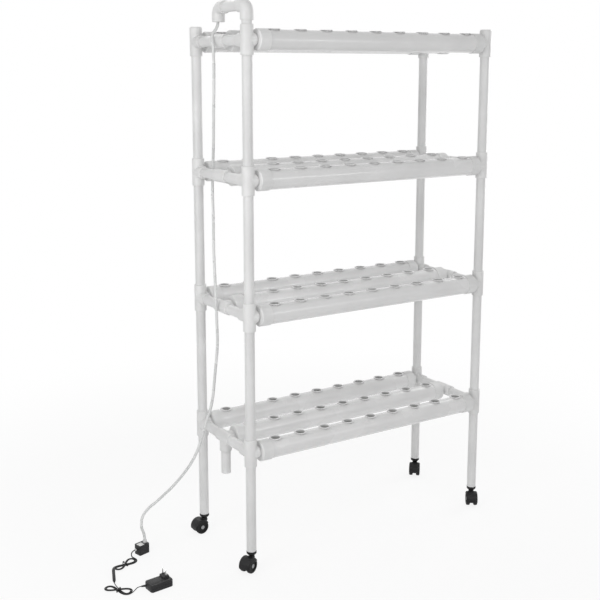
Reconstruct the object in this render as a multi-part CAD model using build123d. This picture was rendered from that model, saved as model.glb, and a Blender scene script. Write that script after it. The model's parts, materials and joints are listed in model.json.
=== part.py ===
from build123d import *
import os
from math import cos, hypot, pi, radians, sin, tan

os.makedirs("parts", exist_ok=True)

# Millimetres. Origin on the floor under the middle of the rack, X along the grow pipes,
# Y to the back, Z up. The lifted reservoir, plants and water are not part of the object.

# fits
fit = 0.05
turning_fit = 0.06
running_gap = 0.4
soft_gap = 0.3

# rack
post_y = 165.0
tier_heights = [397.0, 839.0, 1262.0, 1680.0]
row_names = {"front": -post_y, "middle": 0.0, "back": post_y}

# 32 mm tube and its fittings
tube_radius = 16.0
tube_bore = 14.0
fitting_radius = 20.0
socket_stop = 20.0
socket_mouth = 45.0
middle_mouth = 40.0
pipe_arm_mouth = 25.0
pipe_arm_stop = 15.0
mouth_bevel = 1.2

# grow pipes
pipe_radius = 31.5
pipe_bore = 29.5
cap_plate_outer = 443.0
cap_to_post = 29.0
post_x = cap_plate_outer + cap_to_post
cap_plate = 3.0
cap_skirt = 35.0
cap_radius = 33.5
cap_round = 3.0
nipple_overlap = 10.0
nipple_inner_end = cap_plate_outer - nipple_overlap
hole_radius = 16.0
hole_count = 9
hole_row_margin = 63.0
hole_pitch = 2 * (cap_plate_outer - hole_row_margin) / (hole_count - 1)
hole_cut_top = 40.0

# net cups
lip_radius = 20.5
lip_thickness = 1.6
lip_round = 0.6
cup_collar_clearance = 0.1
cup_wall = 1.2
cup_collar_bottom = 24.0
cup_depth = 45.0
cup_bottom_radius = 11.5
cup_slots = 6
cup_slot_width = 3.0
cup_slot_rise = 27.0
cup_floor_hole = 2.2
cup_floor_ring = 6.0
cup_lip_above_crown = 0.3

# top of the posts and the gooseneck
plug_flange_radius = 18.5
plug_flange = 2.5
elbow_rise = 100.0
elbow_height = tier_heights[-1] + elbow_rise
elbow_mouth = 43.0
elbow_bend = 22.0
outlet_y = 10.0
bush_recess = 1.5
drain_bottom = 275.0
drain_shoulder = 4.0
drain_root_step = 0.8

# castors
insert_low = 50.0
insert_cone_top = 58.0
insert_top = 66.0
insert_low_radius = 9.0
insert_radius = 16.4
spigot_top = 112.0
spigot_radius = tube_bore - fit
stem_radius = 5.0
stem_top = 108.0
stem_bottom = 30.0
wheel_radius = 24.0
wheel_width = 14.0
wheel_inner_y = 6.4
wheel_recess_radius = 16.0
wheel_recess = 2.5
wheel_round = 4.5
axle_radius = 4.0
axle_head_radius = 6.5
axle_head = 1.5
castor_trail = 19.0
hood_radius = 26.8
hood_thickness = 2.0
hood_half_width = 20.4
hood_low_angle = -15.0
hood_high_angle = 152.0
web_half_thickness = 6.0
hub_radius = 8.0
boss_radius = 8.0
castor_headings = {"front_left": 205.0, "front_right": 234.0, "back_left": 185.0, "back_right": 228.0}

# water hose
hose_radius = 4.7
hose_bore = 3.2
hose_grip = 23.0
hose_out = 56.5
# its route from gooseneck to pump, x seen from the post on the way down
hose_fall = [
    (-31, 0, 1700),
    (-30, -12, 1648),
    (-21, 4, 1572),
    (-14, 24, 1470),
    (2, 58, 1370),
    (22, 102, 1290),
    (22, 110, 1210),
    (10, 82, 1130),
    (-6, 54, 1030),
    (-22, 16, 930),
    (-30, -4, 860),
    (-31, -8, 790),
    (-22, 4, 715),
    (-25, 22, 610),
    (-34, 24, 516),
    (-58, 30, 445),
    (-92, 32, 342),
    (-134, 78, 251),
]
hose_rise = [
    (-650, 130, 178),
    (-706, 158, 128),
    (-721, 145, 84),
]
hose_low_straight = 62

# pump
pump_centre = (-724.2, 131.4)
pump_heading = 14.0
pump_size = (40.0, 30.0, 33.0)
pump_corner = 3.0
outlet_x = 12.5
outlet_collar_radius = 6.5
outlet_collar_height = 9.0
outlet_collar_root = 3.0
outlet_passage = 2.6
chamber_radius = 11.0
chamber_start = 7.0
chamber_height = 16.5
cover_thickness = 3.0
cover_size = (25.0, 25.0)
cover_slot_size = (16.0, 1.8)
cover_slot_count = 5
rotor_radius = 5.0
rotor_start = -10.0
disc_radius = 9.6
disc_start = 8.2
disc_thickness = 1.8
vane_end = 16.0
vane_thickness = 1.4
vane_count = 6
grommet_y = 8.0
grommet_z = 15.0
grommet_radius = 4.0
grommet_length = 5.0

# cords
pump_cord_radius = 1.75
adapter_cord_radius = 1.3
strand_gap = 0.5
layer_gap = 0.6
floor_gap = 0.15
knots_per_turn = 8
self_gap_reach = 12.0
sample_spacing = 2.0
arc_share = 0.45
pump_cord_out = 18.0
hank_lead_in = 15.0
adapter_run = 11.0
pump_hank_centre = (-806.0, 80.0)
pump_hank_heading = 23.0
pump_hank_size = (42.0, 27.0)
pump_hank_turns = 2
pump_hank_lean = 0.41
adapter_hank_centre = (-888.0, -60.0)
adapter_hank_heading = 129.6
adapter_hank_size = (44.0, 30.0)
adapter_hank_turns = 3
coupling_length = 90.0
coupling_height = 5.2
coupling_radius = 5.0
coupling_tip = 12.0

# plug-in adapter
case_centre = (-772.0, -106.0)
case_heading = 5.0
case_size = (78.0, 46.0, 24.0)
case_corner = 8.0
case_edge = 2.0
block_centre = (24.0, 8.0)
block_size = (22.0, 29.0, 6.5)
block_corner = 4.0
pin_spacing = 19.0
pin_radius = 2.0
pin_length = 19.0
pin_depth = 8.0
pin_shoulder = 0.5
pin_root_step = 0.6
pin_round = 1.0
relief_start = (-824.0, -88.6)
relief_end = (-806.0, -93.4)
relief_height = 9.0
relief_tip_radius = 2.4
relief_root_radius = 4.2


def save(name, *shapes):
    solids = [solid for shape in shapes for solid in shape.solids()]
    broken = sum(not solid.is_valid for solid in solids)
    print(name, len(solids), "solids", round(sum(solid.volume for solid in solids)), "mm3 broken", broken)
    whole = Compound(children=solids) if len(solids) > 1 else solids[0]
    whole.label = name
    export_step(whole, "parts/" + name + ".step")


def rod(radius, start, end):
    line = Vector(*end) - Vector(*start)
    return Solid.make_cylinder(radius, line.length, Plane(origin=start, z_dir=line))


def cone(start_radius, end_radius, start, end):
    line = Vector(*end) - Vector(*start)
    return Solid.make_cone(start_radius, end_radius, line.length, Plane(origin=start, z_dir=line))


def pipe(outer, inner, start, end):
    return rod(outer, start, end) - rod(inner, start, end)


def bevelled(radius, start, end):
    line = Vector(*end) - Vector(*start)
    shoulder = Vector(*start) + line * (1 - mouth_bevel / line.length)
    straight = rod(radius, start, tuple(shoulder))
    return straight + cone(radius, radius - mouth_bevel, tuple(shoulder), end)


def turned(profile, axis=Axis.Z):
    outline = make_face(Polyline(profile, close=True))
    return revolve(outline, axis)


def moved(shape, x=0.0, y=0.0, z=0.0):
    return Pos(x, y, z) * shape


def tee(arms):
    # arms: list of (direction, mouth, stop); the first two share one straight run
    run_a, run_b = arms[0], arms[1]
    body = bevelled(fitting_radius, (0, 0, 0), tuple(Vector(*run_a[0]) * run_a[1]))
    body = body + bevelled(fitting_radius, (0, 0, 0), tuple(Vector(*run_b[0]) * run_b[1]))
    for direction, mouth, stop in arms[2:]:
        body = body + bevelled(fitting_radius, (0, 0, 0), tuple(Vector(*direction) * mouth))
    for direction, mouth, stop in arms:
        body = body - rod(tube_bore, (0, 0, 0), tuple(Vector(*direction) * mouth))
    for direction, mouth, stop in arms:
        start = tuple(Vector(*direction) * stop)
        body = body - rod(tube_radius + fit, start, tuple(Vector(*direction) * mouth))
    return body


# posts
corners = {}
for side, sx in (("left", -1), ("right", 1)):
    for face, sy in (("front", -1), ("back", 1)):
        corners[face + "_" + side] = (sx * post_x, sy * post_y)
for name, (x, y) in corners.items():
    lengths = []
    low = insert_top
    for height in tier_heights:
        top = height - socket_stop
        lengths.append(pipe(tube_radius, tube_bore, (x, y, low + fit), (x, y, top - fit)))
        low = height + socket_stop
    save("post_" + name, *lengths)

# corner fittings: one shape, turned over or round for the other three posts
corner_tee = tee([
    ((0, 0, 1), socket_mouth, socket_stop),
    ((0, 0, -1), socket_mouth, socket_stop),
    ((0, 1, 0), socket_mouth, socket_stop),
    ((1, 0, 0), pipe_arm_mouth, pipe_arm_stop),
])
corner_turns = {
    "front_left": Rot(0, 0, 0),
    "front_right": Rot(0, 180, 0),
    "back_left": Rot(180, 0, 0),
    "back_right": Rot(0, 0, 180),
}
corner_parts = []
for name, (x, y) in corners.items():
    for height in tier_heights:
        corner_parts.append(Pos(x, y, height) * corner_turns[name] * corner_tee)
save("corner_tees", *corner_parts)

# middle tees, the lowest left one with a fourth arm for the drain
middle_arms = [
    ((0, 1, 0), middle_mouth, socket_stop),
    ((0, -1, 0), middle_mouth, socket_stop),
    ((1, 0, 0), pipe_arm_mouth, pipe_arm_stop),
]
middle_tee = tee(middle_arms)
drain_tee = tee(middle_arms + [((0, 0, -1), socket_mouth, socket_stop)])
middle_parts = []
for sx in (-1, 1):
    turn = Rot(0, 0, 0) if sx < 0 else Rot(0, 0, 180)
    for height in tier_heights:
        has_drain = sx < 0 and height == tier_heights[0]
        shape = drain_tee if has_drain else middle_tee
        middle_parts.append(Pos(sx * post_x, 0, height) * turn * shape)
save("middle_tees", *middle_parts)

# short tubes across, between corner fittings and middle tees
cross_parts = []
for x in (-post_x, post_x):
    for height in tier_heights:
        for sy in (-1, 1):
            start = (x, sy * (socket_stop + fit), height)
            end = (x, sy * (post_y - socket_stop - fit), height)
            cross_parts.append(pipe(tube_radius, tube_bore, start, end))
save("cross_tubes", *cross_parts)

# grow pipes with nine planting holes in the crown
hole_positions = [(index - (hole_count - 1) / 2) * hole_pitch for index in range(hole_count)]
cap_inner = cap_plate_outer - cap_plate
pipe_end = cap_inner - fit
grow_pipe = pipe(pipe_radius, pipe_bore, (-pipe_end, 0, 0), (pipe_end, 0, 0))
for x in hole_positions:
    grow_pipe = grow_pipe - rod(hole_radius, (x, 0, 0), (x, 0, hole_cut_top))
for tier, height in enumerate(tier_heights, 1):
    for row, y in row_names.items():
        save("grow_pipe_tier_" + str(tier) + "_" + row, moved(grow_pipe, 0, y, height))

# end caps and the nipples that join them to the fittings
skirt_end = cap_inner - cap_skirt
cap_profile = [
    (skirt_end, pipe_radius + fit),
    (skirt_end, cap_radius),
    (cap_plate_outer - cap_round, cap_radius),
    (cap_plate_outer, cap_radius - cap_round),
    (cap_plate_outer, tube_radius + fit),
    (cap_inner, tube_radius + fit),
    (cap_inner, pipe_radius + fit),
]
end_cap = turned(cap_profile, Axis.X)
cap_parts = []
nipple_parts = []
nipple_outer_end = post_x - pipe_arm_stop - fit
for height in tier_heights:
    for y in row_names.values():
        for turn in (0, 180):
            cap_parts.append(moved(Rot(0, 0, turn) * end_cap, 0, y, height))
        for sx in (-1, 1):
            start = (sx * nipple_inner_end, y, height)
            end = (sx * nipple_outer_end, y, height)
            nipple_parts.append(pipe(tube_radius, tube_bore, start, end))
save("end_caps", *cap_parts)
save("pipe_nipples", *nipple_parts)

# net cups, built about the pipe axis
lip_low = pipe_radius + cup_lip_above_crown
lip_top = lip_low + lip_thickness
cup_bottom = lip_top - cup_depth
collar_radius = hole_radius - cup_collar_clearance
bore_radius = collar_radius - cup_wall
cup_profile = [
    (0, cup_bottom),
    (cup_bottom_radius, cup_bottom),
    (collar_radius, cup_collar_bottom),
    (collar_radius, lip_low),
    (lip_radius, lip_low),
    (lip_radius, lip_top - lip_round),
    (lip_radius - lip_round, lip_top),
    (bore_radius, lip_top),
    (bore_radius, cup_collar_bottom),
    (cup_bottom_radius - cup_wall, cup_bottom + cup_wall),
    (0, cup_bottom + cup_wall),
]
cup_face = make_face(Plane.XZ * Polyline(cup_profile, close=True))
net_cup = revolve(cup_face, Axis.Z)
slot_length = collar_radius
slot_low = cup_bottom + cup_wall + cup_slot_width
for index in range(cup_slots):
    slot = Box(slot_length, cup_slot_width, cup_slot_rise, align=(Align.MIN, Align.CENTER, Align.MIN))
    start = Pos(cup_bottom_radius / 2, 0, slot_low)
    net_cup = net_cup - Rot(0, 0, index * 360 / cup_slots) * start * slot
floor_hole = Cylinder(cup_floor_hole, cup_wall * 4)
net_cup = net_cup - Pos(0, 0, cup_bottom) * floor_hole
for index in range(cup_slots):
    place = Pos(cup_floor_ring, 0, cup_bottom)
    net_cup = net_cup - Rot(0, 0, (index + 0.5) * 360 / cup_slots) * place * floor_hole
for tier, height in enumerate(tier_heights, 1):
    cups = [moved(net_cup, x, y, height) for y in row_names.values() for x in hole_positions]
    save("net_cups_tier_" + str(tier), *cups)

# top plugs on three posts
top_mouth = tier_heights[-1] + socket_mouth
plug_stop = tier_heights[-1] + socket_stop
plug_parts = []
for name, (x, y) in corners.items():
    if name != "front_left":
        spigot = rod(tube_radius, (x, y, plug_stop + fit), (x, y, top_mouth + fit))
        flange = bevelled(plug_flange_radius, (x, y, top_mouth + fit), (x, y, top_mouth + plug_flange))
        plug_parts.append(spigot + flange)
save("top_plugs", *plug_parts)

# gooseneck: riser, elbow, horizontal tube, outlet elbow, bush
elbow_stop = elbow_bend
riser_x, riser_y = corners["front_left"]
riser = pipe(
    tube_radius,
    tube_bore,
    (riser_x, riser_y, plug_stop + fit),
    (riser_x, riser_y, elbow_height - elbow_stop - fit),
)
over = pipe(
    tube_radius,
    tube_bore,
    (riser_x, riser_y + elbow_stop + fit, elbow_height),
    (riser_x, outlet_y - elbow_stop - fit, elbow_height),
)
save("gooseneck_tubes", riser, over)

elbow_path = FilletPolyline((0, 0, -elbow_mouth), (0, 0, 0), (0, elbow_mouth, 0), radius=elbow_bend)
elbow_start = Plane(origin=(0, 0, -elbow_mouth), z_dir=(0, 0, 1))
elbow = sweep(elbow_start * Circle(fitting_radius), path=elbow_path)
elbow = elbow - sweep(elbow_start * Circle(tube_bore), path=elbow_path)
elbow = elbow - rod(tube_radius + fit, (0, 0, -elbow_mouth), (0, 0, -elbow_stop))
elbow = elbow - rod(tube_radius + fit, (0, elbow_stop, 0), (0, elbow_mouth, 0))
riser_elbow = moved(elbow, riser_x, riser_y, elbow_height)
outlet_elbow = Pos(riser_x, outlet_y, elbow_height) * Rot(0, 0, 180) * elbow
save("gooseneck_elbows", riser_elbow, outlet_elbow)

bush_low = elbow_height - elbow_mouth + bush_recess
bush_top = elbow_height - elbow_stop - fit
bush = pipe(tube_radius, hose_radius + fit, (riser_x, outlet_y, bush_low), (riser_x, outlet_y, bush_top))
save("hose_bush", bush)

# drain tube under the lowest left middle tee, its end in the socket a little narrower
drain_top = tier_heights[0] - socket_stop - fit
drain_step = tier_heights[0] - socket_mouth - drain_shoulder
drain_root = pipe(tube_radius - drain_root_step, tube_bore, (-post_x, 0, drain_step), (-post_x, 0, drain_top))
save("drain_tube", pipe(tube_radius, tube_bore, (-post_x, 0, drain_bottom), (-post_x, 0, drain_step)) + drain_root)

# castor inserts: a flange under each post and a spigot up inside it
socket_parts = []
for x, y in corners.values():
    insert = cone(insert_low_radius, insert_radius, (0, 0, insert_low), (0, 0, insert_cone_top))
    insert = insert + rod(insert_radius, (0, 0, insert_cone_top), (0, 0, insert_top))
    insert = insert + rod(spigot_radius, (0, 0, insert_cone_top), (0, 0, spigot_top))
    insert = insert - rod(stem_radius + turning_fit, (0, 0, insert_low), (0, 0, spigot_top))
    socket_parts.append(moved(insert, x, y))
save("castor_inserts", *socket_parts)


# one castor about its stem, the axle behind the stem on +X
def castor_hood():
    def disc(radius, half_width):
        start = (castor_trail, -half_width, wheel_radius)
        return rod(radius, start, (castor_trail, half_width, wheel_radius))

    reach = 3 * hood_radius
    low = radians(hood_low_angle)
    high = radians(hood_high_angle)
    below = Polyline(
        (0, 0),
        (reach * cos(low), reach * sin(low)),
        (0, -reach),
        (reach * cos(high), reach * sin(high)),
        close=True,
    )
    below = extrude(make_face(Plane.XZ * below), hood_radius, both=True)
    inner = hood_radius - hood_thickness
    shell = disc(hood_radius, hood_half_width) - disc(inner, hood_half_width)
    shell = shell + disc(inner + hood_thickness / 2, web_half_thickness)
    shell = shell - Pos(castor_trail, 0, wheel_radius) * below
    shell = shell + disc(hub_radius, web_half_thickness)
    boss = rod(boss_radius, (0, 0, stem_bottom - boss_radius / 2), (0, 0, insert_low - running_gap))
    boss = (boss - disc(inner, hood_half_width)) + (boss & disc(hood_radius, web_half_thickness))
    shell = shell + boss
    shell = shell - rod(stem_radius + fit, (0, 0, stem_bottom), (0, 0, insert_low))
    return shell - disc(axle_radius + fit, hood_half_width)


def castor_pins():
    stem = rod(stem_radius, (0, 0, stem_bottom + fit), (0, 0, stem_top))
    half = wheel_inner_y + wheel_width - wheel_recess + fit
    axle = rod(axle_radius, (castor_trail, -half, wheel_radius), (castor_trail, half, wheel_radius))
    for sy in (-1, 1):
        start = (castor_trail, sy * half, wheel_radius)
        end = (castor_trail, sy * (half + axle_head), wheel_radius)
        axle = axle + rod(axle_head_radius, start, end)
    return [stem, axle]


def castor_wheel(sy):
    inner = wheel_inner_y
    outer = wheel_inner_y + wheel_width
    profile = [
        (inner, axle_radius + turning_fit),
        (inner, wheel_radius),
        (outer, wheel_radius),
        (outer, wheel_recess_radius),
        (outer - wheel_recess, wheel_recess_radius),
        (outer - wheel_recess, axle_radius + turning_fit),
    ]
    wheel = turned(profile, Axis.X)
    rims = [edge for edge in wheel.edges().filter_by(GeomType.CIRCLE) if edge.radius == wheel_radius]
    wheel = fillet(rims, wheel_round)
    return Pos(castor_trail, 0, wheel_radius) * Rot(0, 0, 90 * sy) * wheel


for name, (x, y) in corners.items():
    place = Pos(x, y, 0) * Rot(0, 0, castor_headings[name])
    save("castor_hood_" + name, place * castor_hood())
    save("castor_pins_" + name, *[place * pin for pin in castor_pins()])
    save("castor_wheel_" + name + "_a", place * castor_wheel(1))
    save("castor_wheel_" + name + "_b", place * castor_wheel(-1))

# pump, about its own centre on the floor, turned into place
pump_place = Pos(pump_centre[0], pump_centre[1], 0) * Rot(0, 0, pump_heading)
pump_length, pump_width, pump_height = pump_size
standing = (Align.CENTER, Align.CENTER, Align.MIN)
housing = Box(pump_length, pump_width, pump_height, align=standing)
housing = fillet(housing.edges().filter_by(Axis.Z), pump_corner)
cover_start = pump_length / 2 - cover_thickness
housing = housing - rod(
    chamber_radius,
    (chamber_start, 0, chamber_height),
    (pump_length / 2, 0, chamber_height),
)
housing = housing - rod(
    rotor_radius + turning_fit,
    (rotor_start - running_gap, 0, chamber_height),
    (chamber_start, 0, chamber_height),
)
cover_width, cover_height = cover_size
recess = Box(
    cover_thickness,
    cover_width + 2 * fit,
    cover_height + 2 * fit,
    align=(Align.MIN, Align.CENTER, Align.CENTER),
)
housing = housing - Pos(cover_start, 0, chamber_height) * recess
collar_low = pump_height - outlet_collar_root
housing = housing - rod(outlet_passage, (outlet_x, 0, chamber_height), (outlet_x, 0, pump_height))
housing = housing - rod(
    outlet_collar_radius + fit,
    (outlet_x, 0, collar_low - fit),
    (outlet_x, 0, pump_height),
)
grommet_root = -pump_length / 2 + outlet_collar_root
housing = housing - rod(
    grommet_radius + fit,
    (grommet_root + fit, grommet_y, grommet_z),
    (-pump_length / 2, grommet_y, grommet_z),
)
save("pump_housing", pump_place * housing)

cover = Box(cover_thickness, cover_width, cover_height, align=(Align.MIN, Align.CENTER, Align.CENTER))
cover_slot_width, cover_slot_height = cover_slot_size
slot = Box(cover_thickness * 3, cover_slot_width, cover_slot_height)
for index in range(cover_slot_count):
    rise = (index - (cover_slot_count - 1) / 2) * cover_slot_height * 2
    cover = cover - Pos(0, 0, rise) * slot
save("pump_intake_cover", pump_place * Pos(cover_start + fit, 0, chamber_height) * cover)

impeller = rod(rotor_radius, (rotor_start, 0, chamber_height), (disc_start, 0, chamber_height))
impeller = impeller + rod(
    disc_radius,
    (disc_start, 0, chamber_height),
    (disc_start + disc_thickness, 0, chamber_height),
)
vane_length = vane_end - disc_start - disc_thickness
for index in range(vane_count):
    vane = Box(vane_length, disc_radius, vane_thickness, align=(Align.MIN, Align.MIN, Align.CENTER))
    turn = Rot(index * 360 / vane_count, 0, 0)
    impeller = impeller + Pos(disc_start + disc_thickness, 0, chamber_height) * turn * vane
impeller = impeller & rod(
    disc_radius - fit,
    (rotor_start, 0, chamber_height),
    (vane_end, 0, chamber_height),
)
save("pump_impeller", pump_place * impeller)

collar_top = pump_height + outlet_collar_height
collar = rod(outlet_collar_radius, (outlet_x, 0, collar_low), (outlet_x, 0, collar_top))
hose_seat = pump_height
collar = collar - rod(hose_radius + fit, (outlet_x, 0, hose_seat), (outlet_x, 0, collar_top))
collar = collar - rod(outlet_passage, (outlet_x, 0, collar_low), (outlet_x, 0, collar_top))
grommet_tip = -pump_length / 2 - grommet_length
grommet = cone(
    grommet_radius,
    pump_cord_radius + cup_wall,
    (-pump_length / 2, grommet_y, grommet_z),
    (grommet_tip, grommet_y, grommet_z),
)
grommet = grommet + rod(
    grommet_radius,
    (grommet_root, grommet_y, grommet_z),
    (-pump_length / 2, grommet_y, grommet_z),
)
grommet = grommet - rod(
    pump_cord_radius + fit,
    (-pump_length / 2, grommet_y, grommet_z),
    (grommet_tip, grommet_y, grommet_z),
)
save("pump_fittings", pump_place * collar, pump_place * grommet)


# cords: straight runs joined by tangent arcs
def bends(points):
    radii = []
    for index in range(1, len(points) - 1):
        before = Vector(*points[index]) - Vector(*points[index - 1])
        after = Vector(*points[index + 1]) - Vector(*points[index])
        half_turn = radians(before.get_angle(after)) / 2
        radii.append(arc_share * min(before.length, after.length) / tan(half_turn))
    return radii


def cord(name, points, radius, bore=0.0):
    radii = bends(points)
    path = FilletPolyline(*points, radius=radii)
    start = Plane(origin=points[0], z_dir=Vector(*points[1]) - Vector(*points[0]))
    body = sweep(start * Circle(radius), path=path)
    section = pi * radius**2
    if bore:
        body = body - sweep(start * Circle(bore), path=path)
        section = section - pi * bore**2
    volume = sum(solid.volume for solid in body.solids())
    runs = [round((Vector(*b) - Vector(*a)).length) for a, b in zip(points, points[1:])]
    print(name, "length", round(path.length), "runs", runs, "radii", [round(r) for r in radii])
    print(name, "volume over section times length", round(volume / (section * path.length), 4))
    return body


def pump_point(x, y, z):
    turn = radians(pump_heading)
    return (
        pump_centre[0] + x * cos(turn) - y * sin(turn),
        pump_centre[1] + x * sin(turn) + y * cos(turn),
        z,
    )


hose_end = pump_point(outlet_x, 0, hose_seat + soft_gap)
hose_points = [(-post_x, outlet_y, elbow_height - hose_grip), (-post_x, outlet_y, elbow_height - hose_out)]
hose_points += [(x - post_x, y, z) for x, y, z in hose_fall]
hose_points += hose_rise
hose_points += [(hose_end[0], hose_end[1], hose_low_straight), hose_end]
save("hose", cord("hose", hose_points, hose_radius, hose_bore))


# hanks: a figure of eight whose turns lie side by side, one diagonal above the other
class Hank:
    def __init__(self, centre, heading, size, radius, first, last):
        self.centre = centre
        self.along = (cos(radians(heading)), sin(radians(heading)))
        self.length, self.width = size
        self.pitch = 2 * radius + strand_gap
        self.low = radius + floor_gap
        self.rise = 2 * radius + layer_gap
        self.first = first
        self.last = last

    def point(self, angle):
        x = self.length * sin(angle)
        y = self.width * sin(2 * angle) / 2
        dx = self.length * cos(angle)
        dy = self.width * cos(2 * angle)
        middle = (self.first + self.last) / 2
        offset = self.pitch * (middle - angle) / (2 * pi) / hypot(dx, dy)
        x = x - offset * dy
        y = y + offset * dx
        ux, uy = self.along
        height = self.low + self.rise * (1 + cos(angle)) / 2
        return Vector(self.centre[0] + x * ux - y * uy, self.centre[1] + x * uy + y * ux, height)

    def heading(self, angle):
        step = 0.001
        return (self.point(angle + step) - self.point(angle - step)).normalized()

    def level_heading(self, angle):
        direction = self.heading(angle)
        return Vector(direction.X, direction.Y, 0).normalized()

    def knots(self, angles):
        return [(self.point(angle), self.heading(angle)) for angle in angles]


def biarc(start, start_heading, end, end_heading):
    chord = end - start
    both = start_heading + end_heading
    a = 2 * (1 - start_heading.dot(end_heading))
    b = 2 * chord.dot(both)
    c = -chord.dot(chord)
    reach = -c / b if abs(a) < 1e-6 else (-b + (b * b - 4 * a * c) ** 0.5) / (2 * a)
    joint = (start + end + (start_heading - end_heading) * reach) * 0.5
    first = Edge.make_tangent_arc(start, start_heading, joint)
    second = Edge.make_tangent_arc(joint, first.tangent_at(1), end)
    return [first, second]


def coil(name, radius, knots):
    start, start_heading = knots[0]
    edges = [Edge.make_line(start - start_heading * 2 * radius, start)]
    for (a, ta), (b, tb) in zip(knots, knots[1:]):
        edges.extend(biarc(a, ta, b, tb))
    end, end_heading = knots[-1]
    edges.append(Edge.make_line(end, end + end_heading * 2 * radius))
    path = Wire(edges)
    first = Plane(origin=start - start_heading * 2 * radius, z_dir=start_heading)
    body = sweep(first * Circle(radius), path=path)
    volume = sum(solid.volume for solid in body.solids())
    samples = []
    distance = 0.0
    for edge in edges:
        count = max(2, round(edge.length / sample_spacing))
        for index in range(count):
            part = index / count
            samples.append((distance + part * edge.length, edge.position_at(part)))
        distance += edge.length
    least = min(
        (p - q).length
        for index, (s, p) in enumerate(samples)
        for t, q in samples[index + 1:]
        if t - s > self_gap_reach * radius
    )
    print(name, "length", round(distance), "least self-gap", round(least - 2 * radius, 2))
    print(name, "volume over section times length", round(volume / (pi * radius**2 * distance), 4))
    radii = [round(edge.radius, 1) for edge in edges if edge.geom_type == GeomType.CIRCLE]
    print(name, "least bend radius", min(radii), "lowest", round(body.bounding_box().min.Z, 2))
    return body


knot_step = 2 * pi / knots_per_turn
pump_hank = Hank(
    centre=pump_hank_centre,
    heading=pump_hank_heading,
    size=pump_hank_size,
    radius=pump_cord_radius,
    first=pi / 2,
    last=3 * pi / 2 - pump_hank_lean + 2 * pi * pump_hank_turns,
)
run = pump_hank.level_heading(pump_hank.last)
exit_point = pump_hank.point(pump_hank.last)
exit_point = Vector(exit_point.X, exit_point.Y, coupling_height)
entry = (pump_hank.point(pump_hank.first), pump_hank.level_heading(pump_hank.first))
inner_steps = [
    pi / 2 + knot_step * index
    for index in range(1, knots_per_turn * pump_hank_turns + knots_per_turn // 2)
]
knots = [entry] + pump_hank.knots(inner_steps) + [(exit_point, run)]
save("pump_cord_hank", coil("pump_cord_hank", pump_cord_radius, knots))
coupling_first = exit_point + run * (2 * pump_cord_radius + fit)
coupling_last = coupling_first + run * coupling_length

cord_out = (Vector(*pump_point(-pump_length, 0, 0)) - Vector(*pump_point(0, 0, 0))).normalized()
cord_start = Vector(*pump_point(-pump_length / 2, grommet_y, grommet_z)) + cord_out * fit
cord_end = entry[0] - entry[1] * (2 * pump_cord_radius + fit)
free_points = [
    tuple(cord_start),
    tuple(cord_start + cord_out * pump_cord_out),
    tuple(cord_end - entry[1] * hank_lead_in),
    tuple(cord_end),
]
save("pump_cord", cord("pump_cord", free_points, pump_cord_radius))

# in-line coupling: two tapered halves that meet at a collar
length = coupling_length
tip_a = tuple(coupling_first + run * coupling_tip)
tip_b = tuple(coupling_last - run * coupling_tip)
half = tuple(coupling_first + run * (length / 2))
plug_half = cone(pump_cord_radius + cup_wall, coupling_radius, tuple(coupling_first), tip_a)
plug_half = plug_half + rod(coupling_radius, tip_a, half)
jack_half = cone(coupling_radius, adapter_cord_radius + cup_wall, tip_b, tuple(coupling_last))
jack_half = rod(coupling_radius, tuple(Vector(*half) + run * running_gap), tip_b) + jack_half
barrel_end = tuple(Vector(*half) + run * (coupling_tip / 2))
barrel = rod(pump_cord_radius + cup_wall, half, barrel_end)
jack_half = jack_half - rod(pump_cord_radius + cup_wall + fit, half, tuple(Vector(*barrel_end) + run * fit))
save("dc_coupling", plug_half + barrel, jack_half)

adapter_hank = Hank(
    centre=adapter_hank_centre,
    heading=adapter_hank_heading,
    size=adapter_hank_size,
    radius=adapter_cord_radius,
    first=pi,
    last=3 * pi / 2 + 2 * pi * adapter_hank_turns,
)
leaving = (adapter_hank.point(adapter_hank.last), adapter_hank.level_heading(adapter_hank.last))
inner_steps = [
    pi + knot_step * index
    for index in range(knots_per_turn * adapter_hank_turns + knots_per_turn // 4)
]
coil_start = coupling_last + run * (2 * adapter_cord_radius + fit)
knots = [(coil_start, run)] + adapter_hank.knots(inner_steps) + [leaving]
save("adapter_cord_hank", coil("adapter_cord_hank", adapter_cord_radius, knots))
lead_start = leaving[0] + leaving[1] * (2 * adapter_cord_radius + fit)
lead_heading = leaving[1]

relief_first = Vector(relief_start[0], relief_start[1], relief_height)
relief_last = Vector(relief_end[0], relief_end[1], relief_height)
relief_heading = (relief_last - relief_first).normalized()
lead_points = [
    tuple(lead_start),
    tuple(lead_start + lead_heading * adapter_run),
    tuple(relief_first - relief_heading * adapter_run),
    tuple(relief_first - relief_heading * fit),
]
save("adapter_lead", cord("adapter_lead", lead_points, adapter_cord_radius))

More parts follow.
